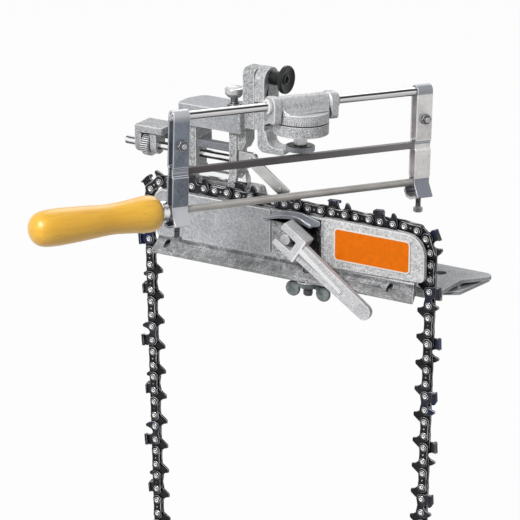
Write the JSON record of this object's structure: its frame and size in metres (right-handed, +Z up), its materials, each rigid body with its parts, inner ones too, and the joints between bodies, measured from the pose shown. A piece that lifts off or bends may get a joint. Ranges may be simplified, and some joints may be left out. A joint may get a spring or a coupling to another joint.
{
  "type": "saw chain filing fixture",
  "caption": "Bench-mounted filing fixture: a rail holds a saw chain while a swivelling, tilting guide carries a handled round file across its cutters.",
  "frame": {"origin": "middle of the bench foot's two screw holes, on the foot's underside", "axes": "+X along the rail to the clamp end, +Y from the chain back over the bench, +Z up"},
  "size_m": [0.2788, 0.2701, 0.4623],
  "materials": {
    "cast_aluminium": "rough cast, lightly blasted",
    "badge": "satin paint",
    "bright_steel": "bright zinc plate",
    "dark_iron": "dark, knurled or cast",
    "lever_alloy": "rough cast",
    "spring_steel": "dark rolled",
    "strip_steel": "bright rolled strip",
    "black_plastic": "moulded",
    "white_plastic": "turned",
    "chromed_rod": "polished",
    "file_steel": "cut teeth",
    "handle_wood": "varnished",
    "chain_steel": "blued",
    "cutter_steel": "blued, ground edges",
    "rivet_steel": "spun heads"
  },
  "bodies": {
    "fixture": {"base_casting": "cast_aluminium", "badge_plate": "badge", "guide_bar": "bright_steel", "lever_pin": "bright_steel", "clamp_stud": "bright_steel", "stud_washer": "bright_steel", "head_casting": "cast_aluminium", "pivot_bolt": "bright_steel", "clamp_collar": "bright_steel", "drive_links": "chain_steel", "tie_straps": "chain_steel", "left_cutters": "cutter_steel", "right_cutters": "cutter_steel", "chain_rivets": "rivet_steel"},
    "wing_nut": {"wing_nut": "dark_iron"},
    "cam_lever": {"cam_lever": "lever_alloy"},
    "clamp_leaf": {"clamp_leaf": "spring_steel"},
    "thumb_screw": {"thumb_screw": "bright_steel"},
    "adjusting_wheel": {"adjusting_wheel": "dark_iron"},
    "stop_carrier": {"stop_spindle": "bright_steel", "stop_arm": "spring_steel", "pawl_pin": "bright_steel"},
    "stop_pawl": {"stop_pawl": "strip_steel", "pawl_rivet": "bright_steel"},
    "tilt_arm": {"tilt_arm": "cast_aluminium", "swivel_bolt": "bright_steel"},
    "pivot_knob": {"pivot_knob": "black_plastic"},
    "swivel_head": {"sleeve_housing": "cast_aluminium"},
    "lock_knob": {"lock_knob": "black_plastic"},
    "swing_bushings": {"guide_bushings": "white_plastic"},
    "file_frame": {"guide_rod": "chromed_rod", "front_bracket": "strip_steel", "rear_bracket": "strip_steel", "flat_file": "file_steel", "bracket_bolts": "bright_steel", "bracket_nuts": "bright_steel", "file_screws": "bright_steel"},
    "hand_file": {"round_file": "file_steel", "handle_ferrule": "bright_steel", "file_handle": "handle_wood"}
  },
  "joints": [
    {"name": "tilt", "type": "hinge", "parent": "fixture", "child": "tilt_arm", "pos_m": [-0.0788, -0.0168, 0.1328], "axis": [-1, 0, 0], "range_deg": [-9.5, 12]},
    {"name": "swivel", "type": "hinge", "parent": "tilt_arm", "child": "swivel_head", "pos_m": [-0.0301, -0.0506, 0.12929], "axis": [0, 0.0462, 0.9989], "range_deg": [-5, 62]},
    {"name": "frame_swing", "type": "hinge", "parent": "swivel_head", "child": "swing_bushings", "pos_m": [-0.0301, -0.0506, 0.12929], "axis": [-0.5, -0.8651, 0.04], "range_deg": [0, 75]},
    {"name": "file_stroke", "type": "slide", "parent": "swing_bushings", "child": "file_frame", "axis": [0.5, 0.8651, -0.04], "range_m": [-0.0613, 0.0591]},
    {"name": "file_turn", "type": "hinge", "parent": "file_frame", "child": "hand_file", "pos_m": [-0.0301, -0.05361, 0.06436], "axis": [0.5, 0.8651, -0.04], "continuous": true},
    {"name": "pivot_knob_turn", "type": "hinge", "parent": "fixture", "child": "pivot_knob", "pos_m": [-0.068, -0.0168, 0.1328], "axis": [1, 0, 0], "continuous": true},
    {"name": "lock_knob_turn", "type": "hinge", "parent": "tilt_arm", "child": "lock_knob", "pos_m": [-0.0301, -0.05204, 0.09832], "axis": [0, 0.0462, 0.9989], "continuous": true},
    {"name": "thumb_screw_turn", "type": "hinge", "parent": "fixture", "child": "thumb_screw", "pos_m": [-0.1038, -0.0192, 0.114], "axis": [0, 0, 1], "continuous": true},
    {"name": "wing_nut_turn", "type": "hinge", "parent": "fixture", "child": "wing_nut", "pos_m": [-0.0258, -0.048, -0.003], "axis": [0, 0, 1], "continuous": true},
    {"name": "lever_turn", "type": "hinge", "parent": "fixture", "child": "cam_lever", "pos_m": [-0.0362, -0.0594, 0.0338], "axis": [0, -1, 0], "range_deg": [0, 75]},
    {"name": "leaf_turn", "type": "hinge", "parent": "fixture", "child": "clamp_leaf", "pos_m": [-0.022, -0.0475, 0.0432], "axis": [0, -1, 0], "range_deg": [0, 3.05]},
    {"name": "wheel_turn", "type": "hinge", "parent": "fixture", "child": "adjusting_wheel", "pos_m": [-0.1743, -0.02, 0.0701], "axis": [1, 0, 0], "range_deg": [-1081, 2161]},
    {"name": "stop_slide", "type": "slide", "parent": "fixture", "child": "stop_carrier", "axis": [1, 0, 0], "range_m": [-0.003, 0.006]},
    {"name": "pawl_turn", "type": "hinge", "parent": "stop_carrier", "child": "stop_pawl", "pos_m": [-0.0827, -0.0322, 0.0763], "axis": [0, -1, 0], "range_deg": [0, 40]}
  ],
  "couplings": [
    {"joint": "leaf_turn", "follows": "lever_turn", "ratio": 0.04},
    {"joint": "wheel_turn", "follows": "stop_slide", "rad_per_m": 6283.2}
  ]
}
